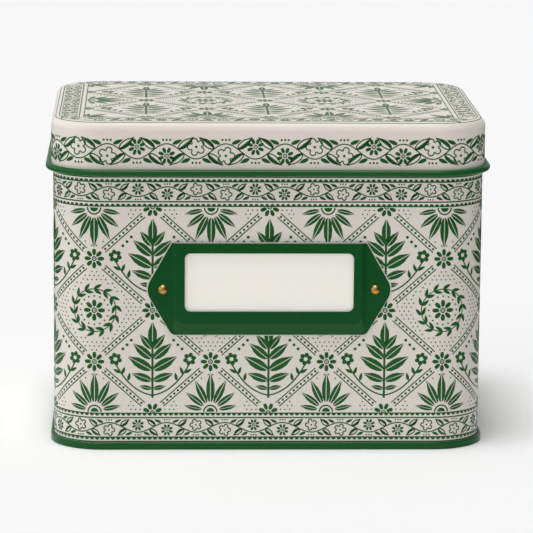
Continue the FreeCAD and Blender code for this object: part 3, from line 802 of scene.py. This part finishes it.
# Litho ink under the varnish is an even green, as satin as the coat round it.
print_ink, tree, shader = new_finish("green_litho_ink", Roughness=0.38, Specular_IOR_Level=0.3)
ink_colour = clouded(tree, noise(tree, INK_CLOUD), INK_GREEN, INK_DEEP)
tree.links.new(ink_colour, shader.inputs["Base Color"])
print("ink:", print_ink.name)


# %% Round the wall
class Outline:
    """A rounded rectangle to bend a sheet round; x runs along it from the middle of the front."""

    def __init__(self, half_width, half_depth, corner):
        self.half_depth, self.corner = half_depth, corner
        self.front = half_width - corner
        self.end = 2.0 * (half_depth - corner)
        self.bend = 0.5 * math.pi * corner
        self.second = self.front + self.bend + self.end
        self.length = 2.0 * (2.0 * self.front + self.end + 2.0 * self.bend)

    def bends(self):
        """Where the four bends start, along the sheet."""
        return self.front, self.second, -self.front - self.bend, -self.second - self.bend

    def round(self, along, out):
        """x, y and the outward direction at distances along and out from the outline."""
        u = (along + 0.5 * self.length) % self.length - 0.5 * self.length
        side = np.where(u < 0.0, -1.0, 1.0)
        u = np.abs(u)
        turned = np.clip(u - self.front, 0.0, self.bend) + np.clip(u - self.second, 0.0, self.bend)
        turned = turned / self.corner
        across = np.clip(u, 0.0, self.front) - np.clip(u - self.second - self.bend, 0.0, self.front)
        back = np.clip(u - self.front - self.bend, 0.0, self.end)
        x = across + np.sin(turned) * (self.corner + out)
        y = back - (self.half_depth - self.corner) - np.cos(turned) * (self.corner + out)
        return side * x, y, side * np.sin(turned), -np.cos(turned)

    def roll(self, flat):
        """Places and outward directions on the upright wall of points on the flat sheet."""
        x, y, out_x, out_y = self.round(flat[:, 0], flat[:, 2])
        return np.column_stack((x, y, flat[:, 1])), np.column_stack((out_x, out_y, np.zeros(len(x))))


WALL, SKIRT = Outline(*WALL_OUTLINE), Outline(*SKIRT_OUTLINE)
print("round the wall and the skirt, mm:", round(WALL.length, 2), round(SKIRT.length, 2))

# %% From sheet to object
INK_RISE, INK_DEPTH = 0.03, 0.09


def lay_flat(sheet, name):
    """The stamped sheet as an object, its faces all upwards."""
    for face in sheet.faces:
        face.normal_update()
        if face.normal.z < 0.0:
            face.normal_flip()
    mesh = bpy.data.meshes.new(name)
    sheet.to_mesh(mesh)
    sheet.free()
    obj = bpy.data.objects.new(name, mesh)
    scene.collection.objects.link(obj)
    return obj


def modify(obj, kind, **settings):
    """Give the object a modifier and apply it."""
    pick(obj)
    modifier = obj.modifiers.new(kind, kind)
    for name, value in settings.items():
        setattr(modifier, name, value)
    bpy.ops.object.modifier_apply(modifier=modifier.name)


def repeat_along(obj, pitch, first, count):
    """Copy the repeat along the sheet, from its first place."""
    obj.data.transform(Matrix.Translation((first * pitch, 0.0, 0.0)))
    modify(obj, "ARRAY", count=count, use_relative_offset=False, use_constant_offset=True,
           constant_offset_displace=(pitch, 0.0, 0.0))


def thicken(obj):
    """Turn the flat print into ink that stands a little proud and reaches into the sheet."""
    obj.data.transform(Matrix.Translation((0.0, 0.0, INK_RISE - 0.5 * LAYERS * LAYER)))
    modify(obj, "SOLIDIFY", thickness=INK_DEPTH, offset=-1.0)


print("ink stands proud, mm:", INK_RISE)

# %% Cutting the printed sheet
BEND_STEPS = 18
CUT_SLACK = 1e-5
# No mark that a cut can meet has its middle farther away than this.
NEAR_A_BEND, NEAR_THE_WINDOW = 25.0, 75.0


def slice_sheet(sheet, faces, at, normal):
    """Cut these faces along a line of the sheet."""
    parts = list({part for face in faces for part in (face, *face.edges, *face.verts)})
    bmesh.ops.bisect_plane(sheet, geom=parts, dist=CUT_SLACK,
                           plane_co=(*at, 0.0), plane_no=(*normal, 0.0))


def cut_across(obj, outline, seam=None):
    """Cut the sheet where it bends, and leave the side seam's margin bare."""
    sheet = bmesh.new()
    sheet.from_mesh(obj.data)
    places = [point.co.x for point in sheet.verts]
    lines = []
    for start in outline.bends():
        for lap in (-1, 0, 1):
            first = start + lap * outline.length
            if first + outline.bend > min(places) and first < max(places):
                lines += [first + outline.bend * step / BEND_STEPS for step in range(BEND_STEPS + 1)]
    join_at = 0.5 * outline.length
    if seam:
        lines += [join_at - seam, join_at + seam]
    for x in lines:
        near = [face for face in sheet.faces if abs(face.calc_center_median().x - x) < NEAR_A_BEND]
        slice_sheet(sheet, near, (x, 0.0), (1.0, 0.0))
    if seam:
        margin = [face for face in sheet.faces if abs(face.calc_center_median().x - join_at) < seam]
        bmesh.ops.delete(sheet, geom=margin, context="FACES")
    sheet.to_mesh(obj.data)
    sheet.free()


def leave_bare(obj, corners):
    """Cut a window out of the print, its corners anticlockwise."""
    sheet = bmesh.new()
    sheet.from_mesh(obj.data)
    corners = [Vector(corner) for corner in corners]
    sides = [(first, last - first) for first, last in zip(corners, corners[1:] + corners[:1])]
    sides = [(first, Vector((along.y, -along.x)).normalized()) for first, along in sides]
    middle = sum(corners, Vector((0.0, 0.0))) / len(corners)
    for first, outward in sides:
        near = [face for face in sheet.faces
                if (face.calc_center_median().xy - middle).length < NEAR_THE_WINDOW]
        slice_sheet(sheet, near, first, outward)
    inside = [face for face in sheet.faces if all(
        (face.calc_center_median().xy - first).dot(outward) < 0.0 for first, outward in sides)]
    bmesh.ops.delete(sheet, geom=inside, context="FACES")
    sheet.to_mesh(obj.data)
    sheet.free()
    return len(inside)


print("cuts in each bend:", BEND_STEPS + 1)


# %% Carrying the print to the tin
def carry(obj, bent, body):
    """Bend the flat print, ink it and fix it to its body; bent gives places and directions."""
    mesh = obj.data
    flat = np.empty(len(mesh.vertices) * 3)
    mesh.vertices.foreach_get("co", flat)
    flat = flat.reshape(-1, 3)
    places, outward = bent(flat)
    mesh.vertices.foreach_set("co", (places * MM).ravel())
    mesh.update()
    corner = np.empty(len(mesh.loops), dtype=int)
    mesh.loops.foreach_get("vertex_index", corner)
    starts, totals = np.empty((2, len(mesh.polygons)), dtype=int)
    mesh.polygons.foreach_get("loop_start", starts)
    mesh.polygons.foreach_get("loop_total", totals)
    on_top = np.minimum.reduceat(flat[corner, 2], starts) > 0.0
    normals = outward[corner]
    normals[~np.repeat(on_top, totals)] = 0.0
    mesh.shade_smooth()
    mesh.normals_split_custom_set(normals)
    mesh.materials.append(print_ink)
    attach(obj, body)
    print(obj.name, "triangles:", int((totals - 2).sum()))


# %% The border
REPEATS = 12
PITCH = WALL.length / REPEATS
PRINT_LOW, PRINT_HIGH, BORDER = 2.75, 106.1, 11.6
# Height in the border and width of each line.
BORDER_LINES = ((0.2, 0.42), (1.95, 0.5), (9.65, 0.5), (11.4, 0.42))
SCALLOP_PITCH, SCALLOP_BASES = 2.02, (1.75, 11.22)
VINE_HEIGHT = 5.8
BORDER_VINE = {"rise": 1.9, "drawn": ("border_flower", "border_leaf"), "nest": 1.0, "size": 1.0}


def border(sheet, where, pitch):
    """A border band that grows up from where: lines, scallops and a running vine."""
    reach = 0.5 * pitch
    for depth, width in BORDER_LINES:
        stroke(sheet, where, [(-reach, depth), (reach, depth)], width)
    scallops = round(pitch / SCALLOP_PITCH)
    for number in range(scallops):
        x = (number + 0.5) * pitch / scallops - reach
        for base in SCALLOP_BASES:
            ink(sheet, where, "scallop", x, base, 180.0)
    vine(sheet, where @ place(0.0, VINE_HEIGHT), pitch, **BORDER_VINE)


low_border, high_border = bmesh.new(), bmesh.new()
border(low_border, place(0.0, PRINT_LOW), PITCH)
border(high_border, place(0.0, PRINT_HIGH, 180.0), PITCH)
print("repeat, mm:", round(PITCH, 2), "borders:", BORDER, "high")

# %% The trellis of the wall
FIELD_MIDDLE = 0.5 * (PRINT_LOW + PRINT_HIGH)
PANE = 0.5 * (PRINT_HIGH - PRINT_LOW - 2.0 * BORDER)
HALF_PITCH = 0.5 * PITCH
BAR_GAP = 4.8
WREATH_CLEAR, PALMETTE_CLEAR, PALMETTE_MIDDLE = 11.4, 13.2, 0.5
field = bmesh.new()
for way in (-1, 1):
    up = 0.0 if way < 0 else 180.0
    pane = place(0.0, FIELD_MIDDLE + 0.5 * PANE * way)
    sprig(field, pane)
    pane_bars(field, pane, PITCH, PANE, BAR_GAP)
    ink(field, pane, "rosette", HALF_PITCH, 0.0)
    ink(field, pane, "half_rosette", 0.0, 0.5 * PANE * way, up)
    edge = place(HALF_PITCH, FIELD_MIDDLE + PANE * way, up)
    palmette(field, edge)
    speckle(field, edge, PITCH, PANE, PALMETTE_CLEAR, PALMETTE_MIDDLE, EDGE_MARGIN)
centre = place(HALF_PITCH, FIELD_MIDDLE)
wreath(field, centre)
speckle(field, centre, PITCH, PANE, WREATH_CLEAR)
ink(field, centre, "rosette", -HALF_PITCH, 0.0)
print("points in the repeat:", len(field.verts), "pane, mm:", round(PITCH, 1), "x", round(PANE, 1))

# %% [markdown]
# ## The wall's print
# The field is laid in two lengths, front and back, so that no piece grows too heavy. The front length
# leaves the label holder's place bare, a hair wider than its plate, and the lapped side seam at the
# back keeps a bare margin for the solder.

# %% The wall's print
SEAM_MARGIN = 2.6
HOLDER_PLACE = ((-37.25, 44.6), (37.25, 44.6), (46.66, 60.9), (46.66, 64.7),
                (37.25, 81.0), (-37.25, 81.0), (-46.66, 64.7), (-46.66, 60.9))
# First repeat, counted from the middle of the front, and the number of repeats.
FRONT, BACK, ALL_ROUND = (-3, 7), (4, 5), (-5, REPEATS)
front = lay_flat(field, "wall_print_front")
back = front.copy()
back.data = front.data.copy()
back.name = "wall_print_back"
scene.collection.objects.link(back)
repeat_along(front, PITCH, *FRONT)
repeat_along(back, PITCH, *BACK)
print("marks cut away behind the holder:", leave_bare(front, HOLDER_PLACE))
lengths = [front, back, lay_flat(low_border, "wall_print_low_border"),
           lay_flat(high_border, "wall_print_high_border")]
for obj in lengths[2:]:
    repeat_along(obj, PITCH, *ALL_ROUND)
for obj in lengths:
    cut_across(obj, WALL, SEAM_MARGIN if obj is not front else None)
    thicken(obj)
    carry(obj, WALL.roll, "tin")

# %% [markdown]
# ## The lid's band
# The skirt carries one broad vine without lines: the border's vine again, drawn larger. A drawn lid
# has no side seam, so nothing is kept bare.

# %% The lid's band
LID_PITCH = SKIRT.length / REPEATS
BAND_HEIGHT = 115.9
BAND_VINE = {"rise": 2.9, "drawn": ("band_flower", "band_leaf"), "nest": 1.7, "size": 1.4}
band_sheet = bmesh.new()
vine(band_sheet, place(0.0, BAND_HEIGHT), LID_PITCH, **BAND_VINE)
band = lay_flat(band_sheet, "lid_print_band")
repeat_along(band, LID_PITCH, *ALL_ROUND)
cut_across(band, SKIRT)
thicken(band)
carry(band, SKIRT.roll, "lid")

# %% [markdown]
# ## The lid's top
# Three panes by two carry the same trellis. The border is printed wider than the flat top, and follows
# the metal over the lid's round edge.

# %% Over the lid's round edge
FLAT_CORNER = SKIRT.corner - EDGE_ROUND
CORE = np.array((SKIRT.front, SKIRT.half_depth - SKIRT.corner))
NEVER_ZERO = 1e-6


def drape(flat):
    """Places and outward directions on the lid's top of points on the flat sheet."""
    beyond_core = np.sign(flat[:, :2]) * np.maximum(np.abs(flat[:, :2]) - CORE, 0.0)
    distance = np.maximum(np.linalg.norm(beyond_core, axis=1), NEVER_ZERO)
    away = beyond_core / distance[:, None]
    turned = np.maximum(distance - FLAT_CORNER, 0.0) / EDGE_ROUND
    reach = np.minimum(distance, FLAT_CORNER) + (EDGE_ROUND + flat[:, 2]) * np.sin(turned)
    level = flat[:, :2] - beyond_core + away * reach[:, None]
    height = LID_TOP - EDGE_ROUND + (EDGE_ROUND + flat[:, 2]) * np.cos(turned)
    outward = np.column_stack((away * np.sin(turned)[:, None], np.cos(turned)))
    return np.column_stack((level, height)), outward


print("flat top, mm:", 2.0 * (CORE + FLAT_CORNER))

# %% The trellis of the lid's top
RIM_REACH = 2.3
TOP_HALF = CORE + FLAT_CORNER + RIM_REACH - BORDER
TOP_PITCH, TOP_PANE = 2.0 * TOP_HALF[0] / 3.0, TOP_HALF[1]
ENLARGED = place(0.0, 0.0, 0.0, 1.08)
TOP_BAR_GAP = 5.1
TOP_WREATH_CLEAR, TOP_PALMETTE_CLEAR = 12.0, 14.0
# Lean and size of the leaves that fan inwards from a corner, and where they start.
CORNER_LEAVES, CORNER_START = ((-34.0, 0.8), (0.0, 1.1), (34.0, 0.8)), 1.6
lid_sheet = bmesh.new()
for column in (-1, 0, 1):
    for row in (-1, 1):
        pane = place(column * TOP_PITCH, 0.5 * TOP_PANE * row)
        sprig(lid_sheet, pane @ ENLARGED, "palm_leaf")
        pane_bars(lid_sheet, pane, TOP_PITCH, TOP_PANE, TOP_BAR_GAP)
        ink(lid_sheet, pane, "half_rosette", 0.0, 0.5 * TOP_PANE * row, 0.0 if row < 0 else 180.0)
    ink(lid_sheet, place(column * TOP_PITCH, 0.0), "rosette", 0.0, 0.0)
for across in (-1, 1):
    crossing = place(0.5 * TOP_PITCH * across, 0.0)
    wreath(lid_sheet, crossing @ ENLARGED)
    speckle(lid_sheet, crossing, TOP_PITCH, TOP_PANE, TOP_WREATH_CLEAR)
    side = place(TOP_HALF[0] * across, 0.0, -90.0 * across)
    palmette(lid_sheet, side @ ENLARGED)
    speckle(lid_sheet, side, TOP_PANE, TOP_PITCH, TOP_PALMETTE_CLEAR, lowest=EDGE_MARGIN)
    for row in (-1, 1):
        ink(lid_sheet, crossing, "rosette", 0.0, 0.5 * TOP_PANE * row)
        edge = crossing @ place(0.0, TOP_PANE * row, 0.0 if row < 0 else 180.0)
        palmette(lid_sheet, edge @ ENLARGED)
        speckle(lid_sheet, edge, TOP_PITCH, TOP_PANE, TOP_PALMETTE_CLEAR, lowest=EDGE_MARGIN)
        ink(lid_sheet, side, "half_rosette", -0.5 * TOP_PANE * row, 0.0)
        for lean, length in CORNER_LEAVES:
            inward = math.degrees(math.atan2(-across, -row)) + lean
            corner = place(TOP_HALF[0] * across, TOP_HALF[1] * row, inward)
            ink(lid_sheet, corner, "palm_leaf", 0.0, CORNER_START, 0.0, length)
print("lid panes, mm:", round(TOP_PITCH, 1), "x", round(TOP_PANE, 1))

# %% The border of the lid's top
# Depth inside the rim and width of each line; the outer lines go round its corners.
INNER_LINES, OUTER_LINES = ((9.65, 0.42), (11.4, 0.38)), ((0.45, 0.32), (1.95, 0.38))
LINE_POINTS = 481
ROSETTE_OUT, ROSETTE_SIZE = 3.4, 0.48
HOME = place(0.0, 0.0)
for across, row, turn in ((0, -1, 0.0), (0, 1, 180.0), (-1, 0, 90.0), (1, 0, -90.0)):
    pitch, count = (TOP_PITCH, 3) if row else (TOP_PANE, 2)
    side = place(*(TOP_HALF + VINE_HEIGHT) * (across, row), turn)
    for number in range(count):
        vine(lid_sheet, side @ place((number - 0.5 * (count - 1)) * pitch, 0.0), pitch, **BORDER_VINE)
for depth, width in INNER_LINES:
    wide, deep = TOP_HALF + BORDER - depth
    for way in (-1, 1):
        stroke(lid_sheet, HOME, [(-wide, deep * way), (wide, deep * way)], width)
        stroke(lid_sheet, HOME, [(wide * way, -deep), (wide * way, deep)], width)
for depth, width in OUTER_LINES:
    line = Outline(*(TOP_HALF + BORDER - depth), FLAT_CORNER + RIM_REACH - depth)
    x, y, _, _ = line.round(np.linspace(0.0, line.length, LINE_POINTS), 0.0)
    stroke(lid_sheet, HOME, list(zip(x, y)), width)
for across in (-1, 1):
    for row in (-1, 1):
        corner = place(*(TOP_HALF + ROSETTE_OUT) * (across, row))
        ink(lid_sheet, corner, "rosette", 0.0, 0.0, 0.0, ROSETTE_SIZE)
print("outer line, mm round:", round(line.length, 1))

# %% The lid's top print
top_print = lay_flat(lid_sheet, "lid_print_top")
thicken(top_print)
carry(top_print, drape, "lid")
